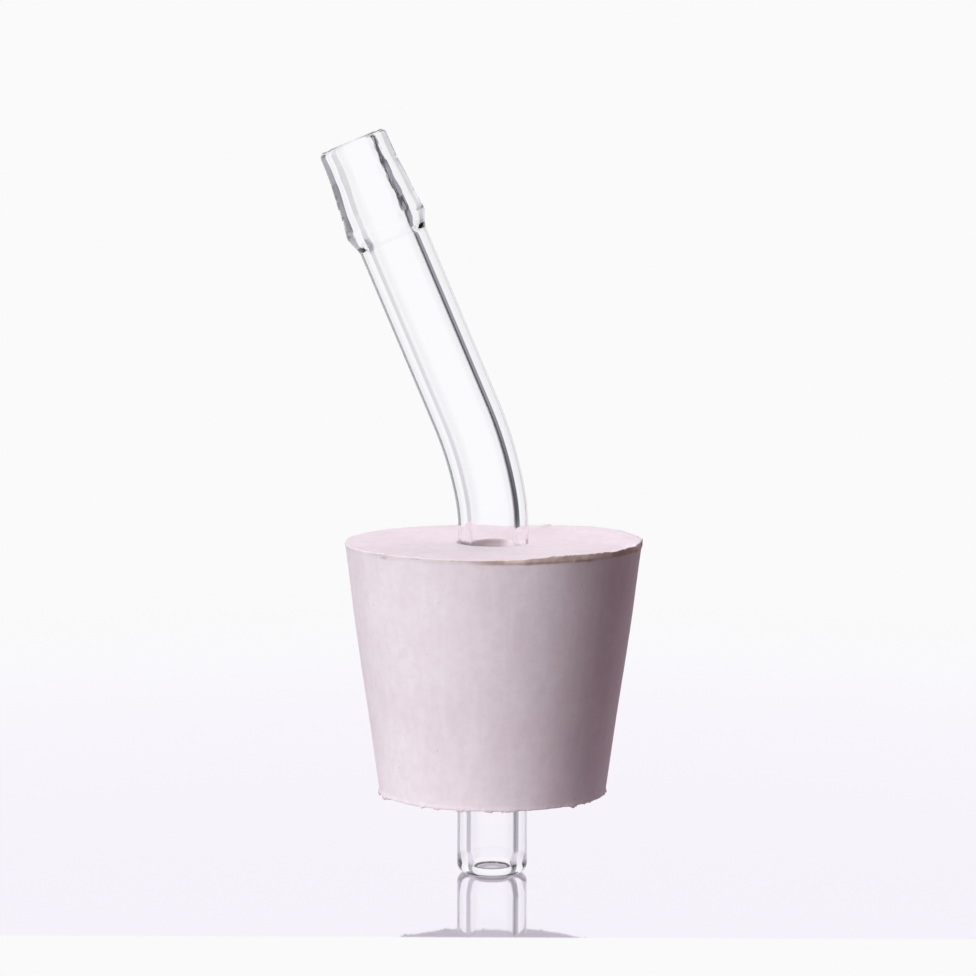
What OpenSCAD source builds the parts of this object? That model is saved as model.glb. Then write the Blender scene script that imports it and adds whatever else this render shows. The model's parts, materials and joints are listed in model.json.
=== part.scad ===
// Rubber stopper with one hole and a bent glass tube pushed through it.
//
// Two pieces. The stopper is a moulded cone of rubber, large end up, with one hole down its middle.
// The tube is glass: straight through the stopper, bent just above it, and swollen at its upper end
// into an olive that holds a hose. Only the grip of the rubber holds the two together.
//
// Frame: the origin is the centre of the tube's foot, on which the whole thing stands. +Z runs up the
// straight part of the tube, and the bent part leans towards -X. All sizes are in millimetres.

/* [Stopper] */
// Diameter of the large end, over its rim
stopper_top_d = 35; // [28:0.5:42]
// Diameter of the small end, over its rim
stopper_bottom_d = 26.8; // [22:0.1:32.5]
// Height of the stopper
stopper_h = 29.4; // [20:0.1:40]
// How far the moulded rim of each end stands out from the cone
rim_out = 0.15; // [0.05:0.05:0.4]
// Height of the rim at each end, from the face to where it runs out into the cone
rim_h = 0.8; // [0.4:0.1:2]
// Gap between the hole and the tube: none, because the rubber grips the glass
hole_clearance = 0; // [0:0.01:0.1]

/* [Glass tube] */
// Outside diameter of the tube
tube_d = 8.2; // [6:0.1:12]
// Thickness of the tube's wall
tube_wall = 1.5; // [1.3:0.1:2]
// Length of tube that shows below the stopper
tube_below = 9.7; // [4:0.1:30]
// Radius of the foot's outer edge, melted round in a flame
foot_edge_r = 1.1; // [0.3:0.1:1.2]
// How far the melted lip at the foot closes in on the bore
lip_in = 0.25; // [0.15:0.05:0.6]
// Radius of the lip's lower edge
lip_edge_r = 0.5; // [0.2:0.1:0.6]
// Height of the straight part of the lip, above its edge
lip_land = 0.5; // [0.2:0.1:1]
// Height above the foot at which the bore is back to its full size
lip_h = 2.4; // [1.8:0.1:4]

/* [Bend] */
// Straight length between the stopper's top face and the bend
bend_rise = 0; // [0:0.5:20]
// Radius of the bend, to the middle of the tube
bend_r = 36.5; // [20:0.5:60]
// Angle that the tube is bent through
bend_angle = 23; // [5:1:60]
// How much thicker the wall is in the bend, inside and outside, where the soft glass gathers
bend_swell = 0.01; // [0.01:0.01:0.1]
// Straight length between the bend and the olive
upper_length = 22.8; // [5:0.1:60]

/* [Olive] */
// How far the crest stands out from the tube, all round
crest_out = 0.7; // [0.5:0.05:2]
// Length of the shoulder, from the tube up to the crest
shoulder_length = 1.9; // [1.5:0.1:4]
// Length of the taper, from the crest up to the mouth
taper_length = 10.4; // [8:0.1:20]
// How far the mouth stands out from the tube, all round
mouth_out = 0; // [0:0.05:0.4]
// Radius of the mouth's outer edge
mouth_edge_r = 0.8; // [0.2:0.1:0.8]
// Radius of the mouth's inner edge
mouth_bore_r = 0.5; // [0.1:0.1:0.5]
// Radius of the crest, and of the hollow where the shoulder leaves the tube
shoulder_r = 1.2; // [0.4:0.1:1.5]

/* [Hidden] */
$fn = 96;

stopper_z = tube_below;
stopper_top_z = stopper_z + stopper_h;
hole_r = tube_d / 2 + hole_clearance;
tube_r = tube_d / 2;
bore_r = tube_r - tube_wall;
lip_r = bore_r - lip_in;
bend_z = stopper_top_z + bend_rise;
crest_z = upper_length + shoulder_length;
mouth_z = crest_z + taper_length;
// Share of the rim's height that stands straight before it runs out into the cone
rim_land = 0.4;
// How far past the bend's end its sweep is carried, in degrees, before it is cut square
spare_angle = 2;

function unit(v) = v / norm(v);

// The sliver between a corner and a round that touches both of its sides. Taken away, it rounds an
// outer corner at p; added, it fills an inner one. a and b are points on the corner's two sides.
// The sliver runs a little past p, and the circle is a hair too large, so that both cross the sides
// cleanly and leave no feather edge.
module corner(p, a, b, r) {
    u = unit(a - p);
    v = unit(b - p);
    half_angle = acos(u * v) / 2;
    side = r / tan(half_angle);
    centre = p + unit(u + v) * r / sin(half_angle);
    difference() {
        polygon([p - (u + v) * r / 10, p + u * side, centre, p + v * side]);
        translate(centre) circle(r = r * 1.001);
    }
}

// Half section of the stopper, with the moulded rim at each end
module stopper_section() {
    cone_top_r = stopper_top_d / 2 - rim_out;
    cone_bottom_r = stopper_bottom_d / 2 - rim_out;
    run_out = (cone_top_r - cone_bottom_r) / stopper_h * rim_h;
    polygon([
        [hole_r, 0],
        [cone_bottom_r + rim_out, 0],
        [cone_bottom_r + rim_out, rim_h * rim_land],
        [cone_bottom_r + run_out, rim_h],
        [cone_top_r - run_out, stopper_h - rim_h],
        [cone_top_r + rim_out, stopper_h - rim_h * rim_land],
        [cone_top_r + rim_out, stopper_h],
        [hole_r, stopper_h]
    ]);
}

module stopper() {
    color([0.87, 0.81, 0.84]) translate([0, 0, stopper_z]) rotate_extrude() stopper_section();
}

// Half section of the tube's wall from its foot up to the bend
module lower_section() {
    outer = [tube_r, 0];
    inner = [lip_r, 0];
    land_top = [lip_r, lip_edge_r + lip_land];
    difference() {
        polygon([inner, outer, [tube_r, bend_z], [bore_r, bend_z], [bore_r, lip_h], land_top]);
        corner(outer, [tube_r, bend_z], inner, foot_edge_r);
        corner(inner, land_top, outer, lip_edge_r);
    }
}

// Half section of the wall from the bend to the mouth, with the olive
module upper_section() {
    neck = [tube_r, upper_length];
    crest = [tube_r + crest_out, crest_z];
    mouth = [tube_r + mouth_out, mouth_z];
    mouth_bore = [bore_r, mouth_z];
    difference() {
        union() {
            polygon([[bore_r, 0], [tube_r, 0], neck, crest, mouth, mouth_bore]);
            corner(neck, [tube_r, 0], crest, shoulder_r);
        }
        corner(crest, neck, mouth, shoulder_r);
        corner(mouth, crest, mouth_bore, mouth_edge_r);
        corner(mouth_bore, mouth, [bore_r, 0], mouth_bore_r);
    }
}

// Carries what stands on the origin round to the far end of the bend
module past_bend() {
    translate([-bend_r, 0, 0]) rotate([0, -bend_angle, 0]) translate([bend_r, 0, 0]) children();
}

// The bent stretch of the tube, from its near end at the origin. It is swept a little too far, and cut
// square where the upper stretch stands on it, so that the two meet face to face.
module bend() {
    difference() {
        translate([-bend_r, 0, 0]) rotate([90, 0, 0])
            rotate_extrude(angle = bend_angle + spare_angle) translate([bend_r, 0]) difference() {
                circle(r = tube_r + bend_swell);
                circle(r = bore_r - bend_swell);
            }
        past_bend() translate([-tube_d, -tube_d, 0]) cube(2 * tube_d);
    }
}

module glass_tube() {
    color([0.86, 0.92, 0.94, 0.4]) union() {
        rotate_extrude() lower_section();
        translate([0, 0, bend_z]) {
            bend();
            past_bend() rotate_extrude() upper_section();
        }
    }
}

stopper();
glass_tube();
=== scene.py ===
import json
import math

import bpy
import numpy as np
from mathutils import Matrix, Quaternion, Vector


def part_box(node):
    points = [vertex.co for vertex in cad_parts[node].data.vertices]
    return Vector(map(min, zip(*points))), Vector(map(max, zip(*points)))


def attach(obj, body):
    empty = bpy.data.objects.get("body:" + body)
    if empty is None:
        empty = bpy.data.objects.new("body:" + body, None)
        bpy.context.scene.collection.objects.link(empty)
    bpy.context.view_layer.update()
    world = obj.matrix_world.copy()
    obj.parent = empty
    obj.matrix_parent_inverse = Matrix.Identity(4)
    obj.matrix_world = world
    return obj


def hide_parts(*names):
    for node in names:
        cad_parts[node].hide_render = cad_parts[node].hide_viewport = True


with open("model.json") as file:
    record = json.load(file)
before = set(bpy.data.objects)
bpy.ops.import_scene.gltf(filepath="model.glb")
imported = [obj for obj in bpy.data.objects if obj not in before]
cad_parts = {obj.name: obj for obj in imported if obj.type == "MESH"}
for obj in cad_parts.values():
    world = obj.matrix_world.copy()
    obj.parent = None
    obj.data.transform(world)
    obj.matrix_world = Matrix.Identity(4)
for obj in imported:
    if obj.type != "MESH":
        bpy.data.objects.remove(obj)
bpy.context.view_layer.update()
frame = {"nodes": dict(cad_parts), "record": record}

# %% [markdown]
# # A rubber stopper with a bent glass tube
#
# The part is a cone of pinkish rubber with one hole, and a clear glass tube pushed through it. The
# tube stands on its own melted foot, bends just above the rubber, and ends in an olive: a swelling
# that grips a hose. The CAD model gives the main sizes, so that each piece lands where the solid
# model has it. Blender adds what a solid model leaves out: the torn edge of the moulding, the
# hand-worked glass, and the finish of both materials.

MM = 0.001
nodes, record = frame["nodes"], frame["record"]
mounts = {m["name"]: m for m in record["mounts"]}
stopper_low, stopper_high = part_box("stopper")
BASE_Z, TOP_Z, TOP_R = stopper_low.z, stopper_high.z, stopper_high.x


def vertices_of(node):
    """The places of a CAD node's vertices, one row each."""
    places = np.zeros(len(nodes[node].data.vertices) * 3)
    nodes[node].data.vertices.foreach_get("co", places)
    return places.reshape(-1, 3)


stopper_points = vertices_of("stopper")
at_base = stopper_points[np.abs(stopper_points[:, 2] - BASE_Z) < 1e-5]
BASE_R = float(np.hypot(at_base[:, 0], at_base[:, 1]).max())
tube_points = vertices_of("glass_tube")
straight = tube_points[(tube_points[:, 2] > 1.5 * MM) & (tube_points[:, 2] < BASE_Z + 30 * MM)]
TUBE_R = float(np.hypot(straight[:, 0], straight[:, 1]).max())
BORE_R = mounts["hose_bore"]["dims"]["r_mm"] * MM
LIP_R = mounts["foot_bore"]["dims"]["r_mm"] * MM
print(f"stopper {2e3 * TOP_R:.1f} to {2e3 * BASE_R:.1f} mm across, {1e3 * (TOP_Z - BASE_Z):.1f} mm high")
print(f"tube {2e3 * TUBE_R:.2f} mm outside, {2e3 * BORE_R:.2f} mm inside, {2e3 * LIP_R:.2f} mm at its lip")

# %% [markdown]
# The two straight stretches of the tube meet in one point when they are carried on, the elbow. The
# lower stretch is the Z axis, and the hose olive's mount lies on the upper one, so the elbow's height
# follows from that mount. Glass bent by hand doesn't follow one arc: just above the stopper, where it
# was hottest, it turns sharply, and then more and more gently. Two arcs follow it closely. The first
# is given here, and the second can then have only one radius that meets the upper stretch.

# %% The bend, worked out from the mounts
mouth = Vector(mounts["hose_olive"]["pos_m"])
upper_way = Vector(mounts["hose_olive"]["axis"]).normalized()
BEND_ANGLE = math.atan2(-upper_way.x, upper_way.z)
elbow_z = mouth.z - mouth.x * upper_way.z / upper_way.x
FIRST_START, FIRST_R, FIRST_ANGLE = TOP_Z + 1.3 * MM, 24 * MM, math.radians(10.9)
slope = math.tan(BEND_ANGLE)
ahead = elbow_z - FIRST_START - FIRST_R * math.sin(FIRST_ANGLE)
short = ahead * slope + FIRST_R * (1 - math.cos(FIRST_ANGLE))
SECOND_ANGLE = BEND_ANGLE - FIRST_ANGLE
SECOND_START = FIRST_START + FIRST_R * FIRST_ANGLE
SECOND_R = short / ((math.sin(BEND_ANGLE) - math.sin(FIRST_ANGLE)) * slope
                    - math.cos(FIRST_ANGLE) + math.cos(BEND_ANGLE))
arcs = ((FIRST_R, 0, FIRST_ANGLE), (SECOND_R, FIRST_ANGLE, BEND_ANGLE))
bend_end = Vector((sum(r * (math.cos(b) - math.cos(a)) for r, a, b in arcs), 0,
                   FIRST_START + sum(r * (math.sin(b) - math.sin(a)) for r, a, b in arcs)))
TUBE_LENGTH = SECOND_START + SECOND_R * SECOND_ANGLE + (mouth - bend_end).length
print(f"bend {math.degrees(BEND_ANGLE):.2f} degrees, its second arc at {1e3 * SECOND_R:.2f} mm")
print(f"tube {1e3 * TUBE_LENGTH:.2f} mm long")

# %% [markdown]
# ## Camera
#
# A small product is best seen through a long lens, which keeps its sides parallel. The camera stands
# a little higher than the tube's mouth, almost square to the plane of the bend, and looks at a point
# about half way up the part.

# %% Camera
CAMERA_AZIMUTH = math.radians(-2)
CAMERA_AWAY, CAMERA_HEIGHT = 450 * MM, 94.17 * MM
AIM_RIGHT, AIM_HEIGHT = -0.646 * MM, 45.42 * MM
CAMERA_ROLL = math.radians(0.22)
SENSOR, LENS = 36, 143.28
to_right = Vector((math.cos(CAMERA_AZIMUTH), math.sin(CAMERA_AZIMUTH), 0))
to_camera = Vector((math.sin(CAMERA_AZIMUTH), -math.cos(CAMERA_AZIMUTH), 0))
camera_data = bpy.data.cameras.new("camera")
camera_data.sensor_width, camera_data.lens = SENSOR, LENS
camera_data.clip_start, camera_data.clip_end = 0.05, 50
camera = bpy.data.objects.new("camera", camera_data)
bpy.context.scene.collection.objects.link(camera)
camera.location = to_camera * CAMERA_AWAY + Vector((0, 0, CAMERA_HEIGHT))
aim = to_right * AIM_RIGHT + Vector((0, 0, AIM_HEIGHT))
level_turn = (aim - camera.location).to_track_quat("-Z", "Y")
camera.rotation_euler = (level_turn @ Quaternion((0, 0, 1), CAMERA_ROLL)).to_euler()
bpy.context.scene.camera = camera
bpy.context.scene.view_settings.view_transform = "Standard"
print("camera at", [round(v, 4) for v in camera.location])

# %% [markdown]
# ## Node trees as Python
#
# Materials, the world and Geometry Nodes all keep their rules in node trees. Written node by node,
# a tree is hard to read. So one small class stands for an output socket, and its + - * / build the
# Math nodes. Every other node comes from one method, which takes the node's type, its settings and
# what goes into its sockets.

# %% Wires and trees
class Wire:
    """An output socket that can be used in sums."""

    def __init__(self, tree, node, socket):
        self.tree, self.node, self.socket = tree, node, socket

    def out(self, name):
        return Wire(self.tree, self.node, self.node.outputs[name])

    def maths(self, operation, *values):
        return self.tree.add("ShaderNodeMath", {"operation": operation}, dict(enumerate(values)))

    def __add__(self, other):
        return self.maths("ADD", self, other)

    def __sub__(self, other):
        return self.maths("SUBTRACT", self, other)

    def __rsub__(self, other):
        return self.maths("SUBTRACT", other, self)

    def __mul__(self, other):
        return self.maths("MULTIPLY", self, other)

    def __truediv__(self, other):
        return self.maths("DIVIDE", self, other)

    def __pow__(self, other):
        return self.maths("POWER", self, other)

    def __abs__(self):
        return self.maths("ABSOLUTE", self)

    __radd__, __rmul__ = __add__, __mul__


class Tree:
    """A node tree that is built by calls."""

    def __init__(self, tree):
        self.tree = tree

    def add(self, kind, settings=None, inputs=None, output=0):
        node = self.tree.nodes.new(kind)
        for name, value in (settings or {}).items():
            setattr(node, name, value)
        for name, value in (inputs or {}).items():
            if isinstance(value, Wire):
                self.tree.links.new(value.socket, node.inputs[name])
            else:
                node.inputs[name].default_value = value
        return Wire(self, node, node.outputs[output]) if node.outputs else node

    def fade(self, value, start, end):
        """0 at start, 1 at end, smooth in between."""
        sides = {"Value": value, "From Min": start, "From Max": end}
        return self.add("ShaderNodeMapRange", {"interpolation_type": "SMOOTHSTEP"}, sides)

    def move(self, vector, operation, other):
        """Vector maths: ADD, MULTIPLY and so on."""
        return self.add("ShaderNodeVectorMath", {"operation": operation}, {0: vector, 1: other})

    def noise(self, vector, scale, detail=2.0, roughness=0.5, seed=0.0):
        """Cloudy noise round 0.5. The seed is the fourth coordinate, so each one is another pattern."""
        values = {"Vector": vector, "W": seed, "Scale": scale, "Detail": detail, "Roughness": roughness}
        return self.add("ShaderNodeTexNoise", {"noise_dimensions": "4D"}, values)

    def blend(self, share, first, second, way="MIX"):
        """Mixes two colours."""
        given = [c if isinstance(c, Wire) or len(c) == 4 else (*c, 1) for c in (first, second)]
        settings = {"data_type": "RGBA", "blend_type": way}
        return self.add("ShaderNodeMix", settings, {0: share, 6: given[0], 7: given[1]}, output=2)


def new_material(name):
    """A material with an empty tree."""
    material = bpy.data.materials.new(name)
    material.use_nodes = True
    material.node_tree.nodes.clear()
    return material, Tree(material.node_tree)


print("tree tools ready")

# %% [markdown]
# ## Studio
#
# Clear glass shows only what it bends and mirrors, so the room is most of its look. In front of the
# camera the room is a white backdrop. To the right it is dark, and darkest low down, which draws the
# dark lines down the tube. To the left it is only dim, so the lines there stay faint. The rubber is
# lit apart from that, because a backdrop that lights everything would flatten it: rays that light a
# matt surface see a dim, warm room with a glow at the back. Three lamps do the rest: a large soft key
# lamp at the left front, one overhead, and a weak pink one at the right front that fills the shade.

# %% World
world = bpy.data.worlds.new("studio")
world.use_nodes = True
world.node_tree.nodes.clear()
bpy.context.scene.world = world
sky = Tree(world.node_tree)
ray = sky.add("ShaderNodeTexCoord")
way = ray.out("Generated")
forward = sky.move(way, "DOT_PRODUCT", -to_camera).out("Value")
sideways = sky.move(way, "DOT_PRODUCT", to_right).out("Value")
height = sky.move(way, "DOT_PRODUCT", (0, 0, 1)).out("Value")
turn = forward.maths("ARCTAN2", sideways, forward)


def sector(middle, half_width, soft):
    """1 within a sector of the horizon, fading to 0 at its sides. Degrees, to the camera's right."""
    off = abs(turn - math.radians(middle))
    return sky.fade(off, math.radians(half_width + soft), math.radians(half_width))


level = sky.fade(abs(height), 0.95, 0.75)
WHITE = (0.955, 0.955, 0.955)
GLASS_WHITE = (0.968, 0.962, 0.99)
dark_side = sky.blend(sky.fade(height, -0.02, 0.3), (0.10, 0.094, 0.112), (0.34, 0.325, 0.375))
in_glass = sky.blend(sector(67, 27, 7) * level, GLASS_WHITE, dark_side)
far_right = sector(80, 19, 12) * sky.fade(abs(height), 0.7, 0.42)
in_glass = sky.blend(far_right, in_glass, (0.05, 0.047, 0.056))
in_glass = sky.blend(sector(-74, 27, 6) * level, in_glass, (0.40, 0.385, 0.445))
in_glass = sky.blend(0.5 * sky.fade(height, -0.05, -0.2), in_glass, WHITE)
glow = 0.02 + 0.75 * sector(5, 45, 25) * sky.fade(height, -0.3, 0.05)
path = sky.add("ShaderNodeLightPath")
matt_light = sky.blend(glow, (0, 0, 0), (1.0, 0.73, 0.78))
colour = sky.blend(path.out("Is Camera Ray"), in_glass, WHITE)
colour = sky.blend(path.out("Is Diffuse Ray"), colour, matt_light)
light = sky.add("ShaderNodeBackground", None, {"Color": colour, "Strength": 1.0})
sky.add("ShaderNodeOutputWorld", None, {"Surface": light})
print("world built")

# %% [markdown]
# A lamp with a large face throws soft shadows, which suits rubber. Seen in clear glass, though, the same
# face would be a hard white square, so the lamps are hidden from gloss and from glass, and only the
# world shows there. The key lamp stands high at the left front and turns the cone's side from light to
# shade. The overhead one lifts the top face, and the fill keeps the shade at the right pink.

# %% Lamps
def soft_lamp(name, place, target, size, watts, colour=(1, 1, 1)):
    """A square lamp with a soft edge to its shadows."""
    data = bpy.data.lights.new(name, "AREA")
    data.shape, data.size, data.energy, data.color = "SQUARE", size, watts, colour
    lamp = bpy.data.objects.new(name, data)
    bpy.context.scene.collection.objects.link(lamp)
    lamp.location = place
    lamp.rotation_euler = (Vector(target) - Vector(place)).to_track_quat("-Z", "Y").to_euler()
    lamp.visible_glossy = lamp.visible_transmission = False


middle = Vector((0, 0, (BASE_Z + TOP_Z) / 2))
KEY_TURN = math.radians(41)
key_way = to_camera * math.cos(KEY_TURN) - to_right * math.sin(KEY_TURN)
key_place = middle + key_way * 0.82 + Vector((0, 0, 0.36))
soft_lamp("key", key_place, middle, 0.5, 9.4)
soft_lamp("overhead", middle + Vector((0, 0.1, 0.85)), middle, 0.5, 3.0)
fill_place = middle + to_camera * 0.7 + to_right * 0.5
soft_lamp("fill", fill_place, middle, 0.5, 0.45, (1, 0.42, 0.58))
print("lamps at", [round(v, 3) for v in key_place])

# %% [markdown]
# The floor is a pale glossy sheet. It mirrors the foot of the tube and the underside of the stopper.
# It glows a little, as a white sheet lit from below does, so no hard shadow falls on it. What it
# throws back on the rubber is a second, dimmer glow. Towards its far edge it fades away into the
# backdrop, so the join can't be seen, and it ends in a straight edge a little in front of the part.

# %% Floor
FLOOR_R = 0.42
floor_mesh = bpy.data.meshes.new("floor")
ring = [(FLOOR_R * math.cos(a), FLOOR_R * math.sin(a), 0) for a in np.linspace(0, 2 * math.pi, 97)[:-1]]
floor_mesh.from_pydata(ring, [], [tuple(range(len(ring)))])
floor = bpy.data.objects.new("floor", floor_mesh)
bpy.context.scene.collection.objects.link(floor)
floor.location.z = -0.00002
floor_material, tree = new_material("pale_floor")
from_middle = tree.add("ShaderNodeTexCoord").out("Object")
away = tree.add("ShaderNodeVectorMath", {"operation": "LENGTH"}, {0: from_middle}).out("Value")
sheet_glow = tree.blend(tree.fade(away, 0.05, 0.2), (0.885, 0.835, 0.93), (0.95, 0.95, 0.95))
matt_glow = tree.blend(tree.fade(away, 0.012, 0.024), (0.47, 0.455, 0.53), (0.20, 0.122, 0.137))
lit_below = tree.blend(tree.add("ShaderNodeLightPath").out("Is Diffuse Ray"), sheet_glow, matt_glow)
sheet = tree.add("ShaderNodeEmission", None, {"Color": lit_below})
mirror = tree.add("ShaderNodeBsdfGlossy", None, {"Color": (0.975, 0.955, 0.99, 1), "Roughness": 0.03})
bare = tree.fade(away, 0.0016, 0.0024)
gloss = bare * (0.15 + 1.6 * tree.add("ShaderNodeFresnel", None, {"IOR": 1.5}))
shiny = tree.add("ShaderNodeMixShader", None, {0: gloss, 1: sheet, 2: mirror})
clear = tree.add("ShaderNodeBsdfTransparent")
in_front = tree.move(from_middle, "DOT_PRODUCT", to_camera).out("Value")
far_away = tree.fade(away, 0.08, 0.26)
gone = far_away.maths("MAXIMUM", far_away, tree.fade(in_front, 0.0343, 0.0353))
faded = tree.add("ShaderNodeMixShader", None, {0: gone, 1: shiny, 2: clear})
tree.add("ShaderNodeOutputMaterial", None, {"Surface": faded})
floor_mesh.materials.append(floor_material)
print(f"floor {2 * FLOOR_R:.2f} m across")

# %% [markdown]
# ## Outlines
#
# Both pieces are turned shapes: an outline swept round the axis. Glass melts round in a flame, so the
# tube's outline is given as corners, each with its own radius, and the arcs and the points between
# are worked out. The stopper's outline comes later, as a list of points.

# %% Rounded outlines
def rounded_outline(corners, step):
    """Points round a closed outline. Each corner is (r, z, radius), in metres."""
    points = []
    for i, (r, z, radius) in enumerate(corners):
        here = np.array([r, z])
        before, after = (np.array(corners[k][:2]) for k in (i - 1, (i + 1) % len(corners)))
        back, on = (before - here, after - here)
        back, on = back / np.linalg.norm(back), on / np.linalg.norm(on)
        half = math.acos(max(-1.0, min(1.0, float(back @ on)))) / 2
        if radius == 0 or half > math.radians(89.9):
            points.append(here)
            continue
        centre = here + (back + on) / np.linalg.norm(back + on) * radius / math.sin(half)
        side = radius / math.tan(half)
        first, last = here + back * side - centre, here + on * side - centre
        sweep = math.pi - 2 * half
        for share in np.linspace(0, 1, max(3, math.ceil(math.degrees(sweep) / 9)) + 1):
            mix = (math.sin((1 - share) * sweep) * first + math.sin(share * sweep) * last) / math.sin(sweep)
            points.append(centre + mix)
    closed = []
    for here, after in zip(points, points[1:] + points[:1]):
        pieces = max(1, math.ceil(np.linalg.norm(after - here) / step))
        closed += [here + (after - here) * k / pieces for k in range(pieces)]
    return np.array(closed)


square = rounded_outline([(0, 0, 0.2), (1, 0, 0.2), (1, 1, 0.2), (0, 1, 0.2)], 0.5)
print("a square with round corners has", len(square), "points")

# %% [markdown]
# ## The glass tube
#
# A glassblower starts from a straight length of drawn tube: the foot is held in the flame until its
# edge melts round and draws in to a lip, the upper end is softened and shaped into the olive with a
# tool, and last the tube is bent. The model is made in the same order. Its outline is a mesh of
# edges. Geometry Nodes sweep that outline round the axis, press the olive's wall a little out of
# true, as hand work leaves it, and then bend the tube twice: first round the upper arc, while what
# lies below it is still straight, and then round the lower one, which carries the upper bend along.
#
# In the outline, each corner is given as how far it stands out from the plain wall or the plain bore,
# its height and its radius, all in millimetres. The olive swells to its crest and tapers above it in
# a gentle wave. The bore narrows a little towards the mouth and at the neck.

# %% Outline of the straight tube
TAPER, SHOULDER = 10.4 * MM, 1.9 * MM
CREST_Z = TUBE_LENGTH - TAPER
NECK_Z = CREST_Z - SHOULDER
neck, crest, end = NECK_Z / MM, CREST_Z / MM, TUBE_LENGTH / MM
waist = ((0.45, 2.2), (0.35, 3.9), (0.07, 6.6), (0, 8.4))
outer_wall = [(0, 0, 1.1), (0, neck, 1.5), (0.74, crest, 1.0)]
outer_wall += [(grown, crest + up, 3) for grown, up in waist] + [(0.01, end, 0.7)]
inner_wall = [(-0.18, end, 0.5), (-0.28, end - 2.2, 2), (-0.24, end - 4.5, 4), (-0.02, end - 8.0, 3),
              (0, end - 9.9, 1.2), (-0.10, neck + 0.9, 1.2), (0, neck - 0.5, 1.0), (0, 2.6, 1.5)]
tube_corners = [(TUBE_R + out * MM, z * MM, r * MM) for out, z, r in outer_wall]
tube_corners += [(BORE_R + out * MM, z * MM, r * MM) for out, z, r in inner_wall]
tube_corners += [(LIP_R, 0.95 * MM, 0.6 * MM), (LIP_R + 0.3 * MM, 0, 0.6 * MM)]
tube_outline = rounded_outline(tube_corners, 0.45 * MM)
print(f"{len(tube_outline)} outline points, neck at {neck:.2f} mm and crest at {crest:.2f} mm along")


# %% [markdown]
# A tube could be a curve with a bevel. That gives one plain section all along, though, and this tube has
# a lip, an olive and a bore of its own. Sweeping the section of its wall round the axis gives all of
# that in one closed skin. The bend is then a rule for moving points, and every size that the tree needs
# is an input that can be changed.

# %% Geometry Nodes helpers
def geometry_tree(name, sockets):
    """An empty Geometry Nodes tree with named inputs, and its group input as a Wire."""
    group = bpy.data.node_groups.new(name, "GeometryNodeTree")
    for way in ("INPUT", "OUTPUT"):
        group.interface.new_socket("Geometry", in_out=way, socket_type="NodeSocketGeometry")
    for label, kind in sockets.items():
        group.interface.new_socket(label, in_out="INPUT", socket_type="NodeSocket" + kind)
    tree = Tree(group)
    return group, tree, tree.add("NodeGroupInput")


def made_mesh(piece, group, values):
    """Runs the tree on a piece with these input values, and keeps the result as its plain mesh."""
    modifier = piece.modifiers.new(group.name, "NODES")
    modifier.node_group = group
    for item in group.interface.items_tree:
        if item.in_out == "INPUT" and item.name in values:
            modifier[item.identifier] = values[item.name]
    result = bpy.data.meshes.new_from_object(piece.evaluated_get(bpy.context.evaluated_depsgraph_get()))
    piece.modifiers.remove(modifier)
    piece.data = result
    return result


def volume_of(mesh):
    """Volume inside a closed mesh of faces, in mm3. It is negative if the faces point inwards."""
    mesh.calc_loop_triangles()
    places = np.zeros(len(mesh.vertices) * 3)
    mesh.vertices.foreach_get("co", places)
    corners = np.zeros(len(mesh.loop_triangles) * 3, int)
    mesh.loop_triangles.foreach_get("vertices", corners)
    a, b, c = places.reshape(-1, 3)[corners].reshape(-1, 3, 3).transpose(1, 0, 2)
    return float((a * np.cross(b, c)).sum() / 6 * 1e9)


print("geometry tools ready")

# %% Tree that sweeps, works and bends the tube
HUB = 1 * MM
amounts = [f"{arc} {size}" for arc in ("First", "Second") for size in ("Start", "Radius", "Angle")]
amounts += ["Olive Start", "Olive Lean", "Wall Middle", "Wobble Inside", "Wobble Outside", "Seed"]
tube_sockets = {"Steps Round": "Int"} | dict.fromkeys(amounts, "Float") | {"Material": "Material"}
tube_group, tree, given = geometry_tree("bent_tube", tube_sockets)
hub_sizes = {"Resolution": given.out("Steps Round"), "Radius": HUB}
hub = tree.add("GeometryNodeCurvePrimitiveCircle", None, hub_sizes)
outline = tree.add("GeometryNodeMeshToCurve", None, {"Mesh": given.out("Geometry")})
swept = tree.add("GeometryNodeCurveToMesh", None, {"Curve": hub, "Profile Curve": outline})
place = tree.add("GeometryNodeInputPosition")
a_place = {"data_type": "FLOAT_VECTOR", "domain": "POINT"}
stored = {"Geometry": swept, "Name": "straight_place", "Value": place}
marked = tree.add("GeometryNodeStoreNamedAttribute", a_place, stored)

apart = tree.add("ShaderNodeSeparateXYZ", None, {"Vector": place})
x, y, z = (apart.out(axis) for axis in "XYZ")
radius = (x * x + y * y) ** 0.5
start = given.out("Olive Start")
on_olive = tree.fade(z, start + 0.6 * MM, start + 3 * MM)
inside = tree.fade(radius, given.out("Wall Middle") + 0.2 * MM, given.out("Wall Middle") - 0.2 * MM)
soft = tree.noise(tree.move(place, "MULTIPLY", (1, 1, 0.55)), 420, 2, 0.5, given.out("Seed")) - 0.5
sharp = tree.fade(x, -1 * MM, 2 * MM) * (tree.noise(place, 1300, 2, 0.6, given.out("Seed") + 5) - 0.5)
push = on_olive * (inside * given.out("Wobble Inside") * (soft + 1.1 * sharp)
                   + (1 - inside) * given.out("Wobble Outside") * soft)
grow = 1 + push / radius
past_neck = z - start
lean = given.out("Olive Lean") * past_neck.maths("MAXIMUM", past_neck, 0)
worked = tree.add("ShaderNodeCombineXYZ", None, {"X": x * grow + lean, "Y": y * grow, "Z": z})
shaped = tree.add("GeometryNodeSetPosition", None, {"Geometry": marked, "Position": worked})

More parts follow.
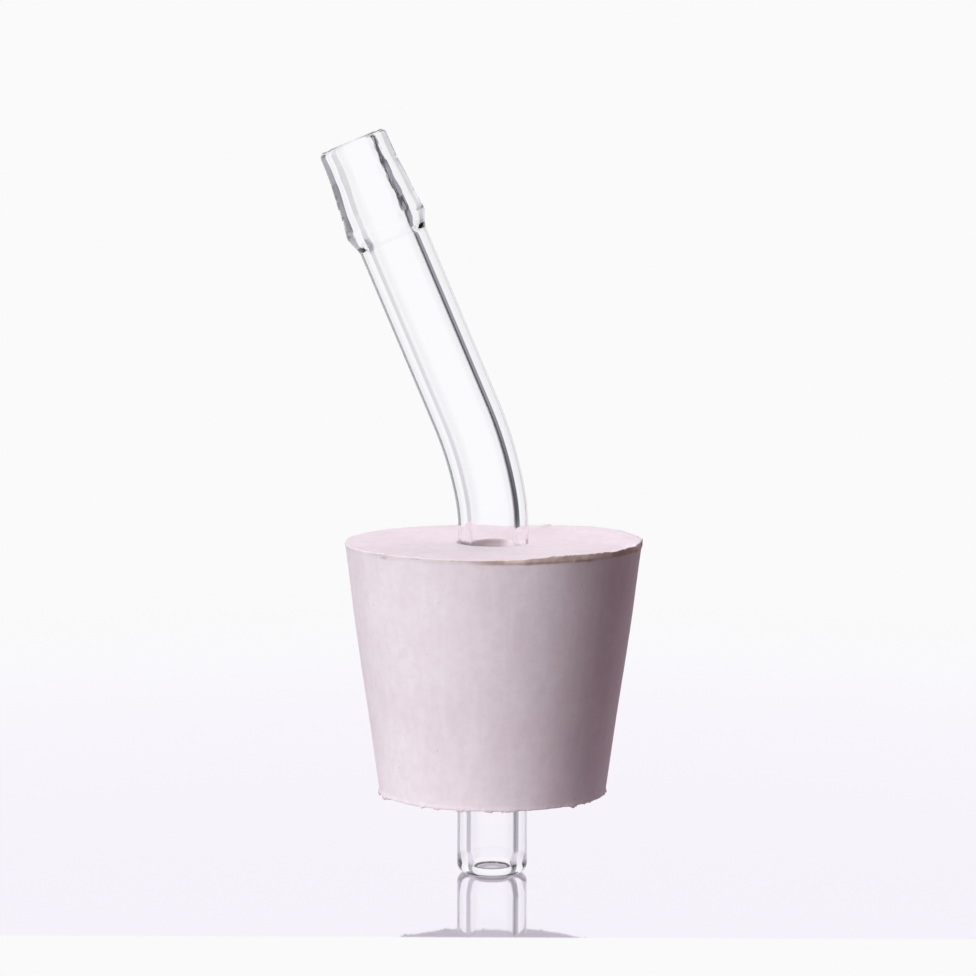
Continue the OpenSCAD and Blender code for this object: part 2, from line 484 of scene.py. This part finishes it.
bent = shaped
for arc in ("Second", "First"):
    apart = tree.add("ShaderNodeSeparateXYZ", None, {"Vector": place})
    x, y, z = (apart.out(axis) for axis in "XYZ")
    bend_r, bend_start = given.out(arc + " Radius"), given.out(arc + " Start")
    along = z - bend_start
    turned = along.maths("MINIMUM", along.maths("MAXIMUM", along / bend_r, 0), given.out(arc + " Angle"))
    rest = along - bend_r * turned
    cosine, sine = turned.maths("COSINE", turned), turned.maths("SINE", turned)
    bent_x = (bend_r + x) * cosine - bend_r - rest * sine
    bent_z = bend_start + (bend_r + x) * sine + rest * cosine
    moved = tree.add("ShaderNodeCombineXYZ", None, {"X": bent_x, "Y": y, "Z": bent_z})
    bent = tree.add("GeometryNodeSetPosition", None, {"Geometry": bent, "Position": moved})
smooth = tree.add("GeometryNodeSetShadeSmooth", None, {"Geometry": bent, "Shade Smooth": True})
real = tree.add("GeometryNodeRealizeInstances", None, {"Geometry": smooth})
painted = tree.add("GeometryNodeSetMaterial", None, {"Geometry": real, "Material": given.out("Material")})
tree.add("NodeGroupOutput", None, {"Geometry": painted})
print(len(tube_group.nodes), "nodes in the tube's tree")

# %% [markdown]
# ### Clear glass
#
# The glass has no colour of its own. What makes it look drawn rather than cast is a very faint
# waviness along its length. Here and there it is also a little dull, where it was handled. Both
# patterns are laid on the straight tube, whose places the tree stored before the bend, so they run
# round the bend with the glass.

# %% Glass material
glass, tree = new_material("clear_glass")
straight_place = tree.add("ShaderNodeAttribute", {"attribute_name": "straight_place"}).out("Vector")
draw_lines = tree.noise(tree.move(straight_place, "MULTIPLY", (1, 1, 0.03)), 700, 2, 0.5, 3)
ripples = tree.noise(tree.move(straight_place, "MULTIPLY", (1, 1, 0.4)), 120, 1, 0.5, 8)
waves = {"Strength": 0.05, "Distance": 0.0002, "Height": draw_lines + ripples}
bump = tree.add("ShaderNodeBump", None, waves)
smears = tree.fade(tree.noise(straight_place, 160, 4, 0.6, 12), 0.55, 0.8)
glass_values = {"Base Color": (1, 1, 1, 1), "Transmission Weight": 1.0, "IOR": 1.474,
                "Roughness": 0.03 * smears, "Normal": bump}
shader = tree.add("ShaderNodeBsdfPrincipled", None, glass_values)
tree.add("ShaderNodeOutputMaterial", None, {"Surface": shader})
print("glass ready")

# %% [markdown]
# Now the tree is run on the outline with this tube's own sizes. The result is kept as a plain mesh and
# the modifier is dropped, so that what is exported is what is seen. Real glass hardly dims what lies
# behind it, but a renderer's shadow rays stop at clear glass, so the tube is made to cast no shadow.

# %% The tube itself
tube_mesh = bpy.data.meshes.new("tube_outline")
# The sweep stands the outline up from a small hub on the axis, with its -Y as the tube's +Z.
hung = [(r - HUB, -z, 0) for r, z in tube_outline[::-1]]
tube_mesh.from_pydata(hung, [(k, (k + 1) % len(hung)) for k in range(len(hung))], [])
tube = bpy.data.objects.new("bent_glass_tube", tube_mesh)
bpy.context.scene.collection.objects.link(tube)
tube_values = {"Steps Round": 160,
               "First Start": FIRST_START, "First Radius": FIRST_R, "First Angle": FIRST_ANGLE,
               "Second Start": SECOND_START, "Second Radius": SECOND_R, "Second Angle": SECOND_ANGLE,
               "Olive Start": NECK_Z, "Olive Lean": math.tan(math.radians(0.35)),
               "Wall Middle": (TUBE_R + BORE_R) / 2, "Wobble Inside": 0.16 * MM, "Wobble Outside": 0.06 * MM,
               "Seed": 4.0, "Material": glass}
tube_result = made_mesh(tube, tube_group, tube_values)
print(f"tube: {2 * len(tube_result.polygons)} triangles, {volume_of(tube_result):.0f} mm3 of glass")
tube.visible_shadow = False
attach(tube, "root")
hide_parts("glass_tube")

# %% [markdown]
# ## The stopper
#
# Rubber stoppers are moulded many at a time in a sheet and then torn or cut from it. The tear leaves
# a thin ragged rim at each end, thicker where the sheet held on longest, and it is browner there. The
# stopper is one closed mesh made in code: the outline goes round in more than a thousand steps, so
# that the scallops of the torn rim are real shape and not paint. All directions round it are in
# degrees from +X, and the front is at -90.

# %% Ragged lines
def ragged(angles, seed, longest, octaves, rough=0.6):
    """A ragged line round the whole circle, between about -1 and 1, which meets itself."""
    chance = np.random.default_rng(seed)
    line, size = np.zeros_like(angles), 1.0
    for octave in range(octaves):
        knots = longest * 2 ** octave
        heights = chance.uniform(-1, 1, knots)
        spot = angles / (2 * math.pi) % 1 * knots
        low = np.floor(spot).astype(int)
        part = spot - low
        part = part * part * (3 - 2 * part)
        line += size * (heights[low % knots] * (1 - part) + heights[(low + 1) % knots] * part)
        size *= rough
    return line


def between(values, start, end):
    """0 at start, 1 at end, smooth in between."""
    share = np.clip((values - start) / (end - start), 0, 1)
    return share * share * (3 - 2 * share)


STEPS = 1088
around = np.linspace(0, 2 * math.pi, STEPS, endpoint=False)
sample = ragged(around, 1, 30, 4)
print(f"raggedness runs from {sample.min():.2f} to {sample.max():.2f}")

# %% [markdown]
# A stopper could be a cone with a bevel. Its rims need many more rings than its side does, though, so
# the outline is a list of points that stand close together at the rims and far apart on the side. The
# hole is a hair tighter than the tube, so that no gap shows between rubber and glass.

# %% Outline of the stopper
RIM_OUT = 0.15 * MM
HOLE_R = TUBE_R - 0.02 * MM
cone_top, cone_base = TOP_R - RIM_OUT, BASE_R - RIM_OUT


def cone_radius(z):
    return cone_base + (cone_top - cone_base) * (z - BASE_Z) / (TOP_Z - BASE_Z)


low_steps = (0.12, 0.25, 0.4, 0.55, 0.7, 0.9, 1.2)
high_steps = (1.6, 1.3, 1.1, 0.95, 0.8, 0.7, 0.6, 0.5, 0.42, 0.34, 0.27, 0.2, 0.13, 0.06)
side_z = ([BASE_Z + h * MM for h in low_steps] + list(np.linspace(BASE_Z + 2 * MM, TOP_Z - 2.2 * MM, 20))
          + [TOP_Z - h * MM for h in high_steps])
base_r = list(np.linspace(HOLE_R + 0.5 * MM, cone_base - 0.6 * MM, 6)) + [cone_base - 0.2 * MM, cone_base]
top_r = ([cone_top - d * MM for d in (0.03, 0.16, 0.3)]
         + list(np.linspace(cone_top - 0.5 * MM, HOLE_R + 1.6 * MM, 9))
         + [HOLE_R + d * MM for d in (1.2, 0.85, 0.55, 0.3, 0.12)])
hole_z = np.linspace(TOP_Z - 0.25 * MM, BASE_Z + 1 * MM, 8)
profile = [(HOLE_R, BASE_Z + 0.4 * MM), (HOLE_R + 0.1 * MM, BASE_Z)] + [(r, BASE_Z) for r in base_r]
profile += [(cone_radius(z), z) for z in side_z] + [(r, TOP_Z) for r in top_r]
profile += [(HOLE_R, z) for z in hole_z]
profile = np.array(profile)
print(len(profile), "rings of", STEPS, "points:", 2 * len(profile) * STEPS, "triangles")

# %% [markdown]
# Every point of the stopper is one entry in a grid of rings and steps, so a feature is a sum of masks on
# that grid: how high it lies, how far out, and in which direction. Each mask runs smoothly from 0 to 1.
# Pushing points out by a mask and a ragged line gives the torn rim, and lifting them gives the lip that
# stands up where the sheet held on longest.

# %% Shape of the rubber
ring_r = np.repeat(profile[:, :1], STEPS, 1)
ring_z = np.repeat(profile[:, 1:], STEPS, 1)
angle = np.repeat(around[None, :], len(profile), 0)
on_side = (ring_r > cone_radius(ring_z) - 0.05 * MM) & (ring_r > 8 * MM)


def near(degrees, far, close):
    """1 within `close` degrees of this direction round the stopper, and 0 beyond `far`."""
    off = np.abs((angle - math.radians(degrees) + math.pi) % (2 * math.pi) - math.pi)
    return between(off, math.radians(far), math.radians(close))


def at_height(start, end):
    """0 at the first height over the top face and 1 at the second, in mm. Below it they are negative."""
    return between(ring_z, TOP_Z + start * MM, TOP_Z + end * MM)


torn = near(-45, 62, 40)
raised = near(-9, 84, 55)
tooth = near(66, 2.2, 1)
nib = 0.5 * near(0, 3, 1) + near(-138, 2, 0.8)

# The top rim: scalloped all round, and thickest where it is torn
top_rim = at_height(-0.62, -0.2) * between(ring_r, cone_top - 0.7 * MM, cone_top - 0.1 * MM)
scallops = ragged(angle, 11, 26, 5, 0.7)
thickness = (scallops * 0.5 + 0.6).clip(0, 1.4) * (0.35 + 0.9 * torn)
top_push = top_rim * (0.02 + 0.09 * thickness) * (1 - 1.5 * at_height(-0.32, 0) * raised) * MM
top_push += top_rim * 0.18 * nib * MM

# The base rim: fine nibs that also hang down
base_rim = between(ring_z, BASE_Z + 0.5 * MM, BASE_Z + 0.1 * MM)
base_rim = base_rim * between(ring_r, cone_base - 0.6 * MM, cone_base - 0.05 * MM)
base_nibs = ragged(angle, 23, 60, 4, 0.75)
base_push = base_rim * (0.03 + 0.1 * (base_nibs * 0.5 + 0.5).clip(0, 1.6)) * MM
hang = 0.22 * (base_nibs - 0.5).clip(0, 1.4) + 0.03 * base_nibs

# The side: a slight belly, and faint unevenness
belly = between(ring_z, BASE_Z + 6 * MM, BASE_Z + 19 * MM) * at_height(-0.5, -10)
uneven = 0.12 * belly + 0.03 * ragged(angle + ring_z * 40, 31, 7, 3)
out = top_push + base_push + on_side * uneven * MM
r = ring_r + out

# The top face: its edge is lifted where the sheet was torn away, and its hole is pressed in a little
slope_width = (0.5 + 4.5 * near(50, 75, 45)) * MM
top_lift = between(ring_r, cone_top - slope_width, cone_top - 0.2 * MM) * at_height(-0.3, -0.04)
hills = (0.03 + 0.07 * near(-60, 60, 40)) * ragged(angle, 43, 48, 4, 0.7)
lift = 0.02 * ragged(angle, 41, 40, 4) + raised * (0.33 + hills).clip(0.12, 0.5)
lift = lift + 0.14 * tooth + 0.1 * nib
hole_lip = between(ring_r, HOLE_R + 0.9 * MM, HOLE_R + 0.1 * MM) * at_height(-0.2, 0)
z = ring_z + top_lift * lift * MM - base_rim * hang * MM
z -= hole_lip * (0.03 + 0.03 * ragged(angle, 53, 9, 3)) * MM
print(f"rim stands out by up to {1e3 * float(out.max()):.2f} mm")

# %% [markdown]
# The grid closes on itself both ways, round the axis and round the outline, so the mesh has no seam and
# no pole. Two attributes go with it, worked out from the same masks: where the rubber is torn, together
# with a painted shadow line under the top rim's lip, and where shade is painted on the top of the hole's
# wall. The material reads both.

# %% Stopper mesh
places = np.stack([r * np.cos(angle), r * np.sin(angle), z], -1).reshape(-1, 3)
rings = len(profile)
low, step = np.meshgrid(np.arange(rings), np.arange(STEPS), indexing="ij")
above, beside = (low + 1) % rings, (step + 1) % STEPS
quads = [low * STEPS + step, low * STEPS + beside, above * STEPS + beside, above * STEPS + step]
quads = np.stack(quads, -1).reshape(-1, 4)
stopper_mesh = bpy.data.meshes.new("stopper")
stopper_mesh.from_pydata(places.tolist(), [], quads.tolist())
stopper_mesh.polygons.foreach_set("use_smooth", np.ones(len(quads), bool))
flash_band = torn * between(ring_z, TOP_Z - (0.62 + 0.12 * scallops) * MM, TOP_Z - 0.4 * MM)
flash_band = flash_band * at_height(0, -0.08)
# Painted shadow: a thin dark line just under the top rim's lip at the front left, where the lip overhangs.
# It is painted in the torn tan.
painted_crease_shadow = near(-118, 32, 24) * at_height(-0.34, -0.2) * at_height(0, -0.1)
base_line = between(ring_z, BASE_Z + 0.35 * MM, BASE_Z + 0.1 * MM) * between(base_nibs, 0.1, 0.9)
# Painted shade: the top of the hole's wall, seen through the glass, is darkened a little all round and most
# towards the back.
in_hole = between(ring_r, HOLE_R + 0.3 * MM, HOLE_R + 0.05 * MM) * at_height(-4, -3)
# The first share is the torn tan together with the painted shadow line under the lip. The second is painted
# shade in the hole.
shares = {"torn_tint_and_shadow": (flash_band + 0.5 * painted_crease_shadow + 0.7 * base_line) * on_side,
          "painted_hole_shade": in_hole * (0.3 + 0.7 * near(96, 55, 20))}
for name, share in shares.items():
    attribute = stopper_mesh.attributes.new(name, "FLOAT", "POINT")
    attribute.data.foreach_set("value", share.ravel().astype(np.float32))
stopper_mesh.validate()
rubber_stopper = bpy.data.objects.new("rubber_stopper", stopper_mesh)
bpy.context.scene.collection.objects.link(rubber_stopper)
print(f"stopper: {2 * len(stopper_mesh.polygons)} triangles, {volume_of(stopper_mesh):.0f} mm3 of rubber")

# %% [markdown]
# ### Moulded rubber
#
# The rubber is dull and pale, between pink and grey. Close up it isn't one colour: fillers leave it
# mottled, the mould leaves faint upright streaks, and it is dotted with small dark and light specks.
# Each of these is one layer of noise at its own size, laid over the base colour, and the same layers
# drive the roughness and the bump, so that what is seen is also felt. Two attributes of the mesh say
# where the rubber is torn, and so tan, with a painted shadow line in the same tan under the top rim's
# lip, and where shade is painted darker on the top of the hole's wall, most at its back.

# %% Rubber material
rubber, tree = new_material("stopper_rubber")
spot = tree.add("ShaderNodeTexCoord").out("Object")
clouds = tree.noise(spot, 130, 3, 0.55, 1)
mottle = tree.noise(spot, 900, 3, 0.6, 2)
grain = tree.noise(spot, 5200, 2, 0.6, 3)
streaks = tree.noise(tree.move(spot, "MULTIPLY", (1, 1, 0.1)), 900, 3, 0.6, 4)
dark_specks = tree.fade(tree.noise(spot, 2600, 1, 0.4, 5), 0.74, 0.8)
light_specks = tree.fade(tree.noise(spot, 2200, 1, 0.4, 6), 0.75, 0.8)
colour = tree.blend(tree.fade(clouds, 0.3, 0.7), (0.745, 0.665, 0.725), (0.80, 0.735, 0.79))
colour = tree.blend(0.5 * tree.fade(mottle, 0.35, 0.7), colour, (0.70, 0.62, 0.68))
colour = tree.blend(0.35 * tree.fade(streaks, 0.45, 0.75), colour, (0.84, 0.79, 0.83))
colour = tree.blend(0.45 * dark_specks, colour, (0.42, 0.33, 0.36))
colour = tree.blend(0.5 * light_specks, colour, (0.93, 0.88, 0.90))
# The tan of the torn rim and the painted shadow line under the lip come in one attribute.
torn_tint_and_shadow_share = tree.add("ShaderNodeAttribute", {"attribute_name": "torn_tint_and_shadow"}).out("Fac")
patches = tree.fade(tree.noise(spot, 500, 2, 0.5, 7), 0.42, 0.58)
torn_and_shadow_colour = tree.blend(patches, (0.70, 0.575, 0.54), (0.50, 0.385, 0.335))
colour = tree.blend(torn_tint_and_shadow_share * (0.7 + 0.3 * tree.fade(mottle, 0.3, 0.6)), colour, torn_and_shadow_colour)
# Painted shade on the top of the hole's wall.
painted_hole_shade = tree.add("ShaderNodeAttribute", {"attribute_name": "painted_hole_shade"}).out("Fac")
colour = tree.blend(painted_hole_shade, colour, (0.33, 0.255, 0.27))
roughness = 0.62 + 0.2 * mottle + 0.1 * torn_tint_and_shadow_share
relief = 0.5 * mottle + 0.35 * grain + 0.4 * streaks - 0.5 * dark_specks
bump = tree.add("ShaderNodeBump", None, {"Strength": 0.35, "Distance": 0.00012, "Height": relief})
rubber_values = {"Base Color": colour, "Roughness": roughness, "Normal": bump,
                 "IOR": 1.5, "Specular IOR Level": 0.35}
shader = tree.add("ShaderNodeBsdfPrincipled", None, rubber_values)
tree.add("ShaderNodeOutputMaterial", None, {"Surface": shader})
stopper_mesh.materials.append(rubber)
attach(rubber_stopper, "root")
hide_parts("stopper")
print("rubber ready")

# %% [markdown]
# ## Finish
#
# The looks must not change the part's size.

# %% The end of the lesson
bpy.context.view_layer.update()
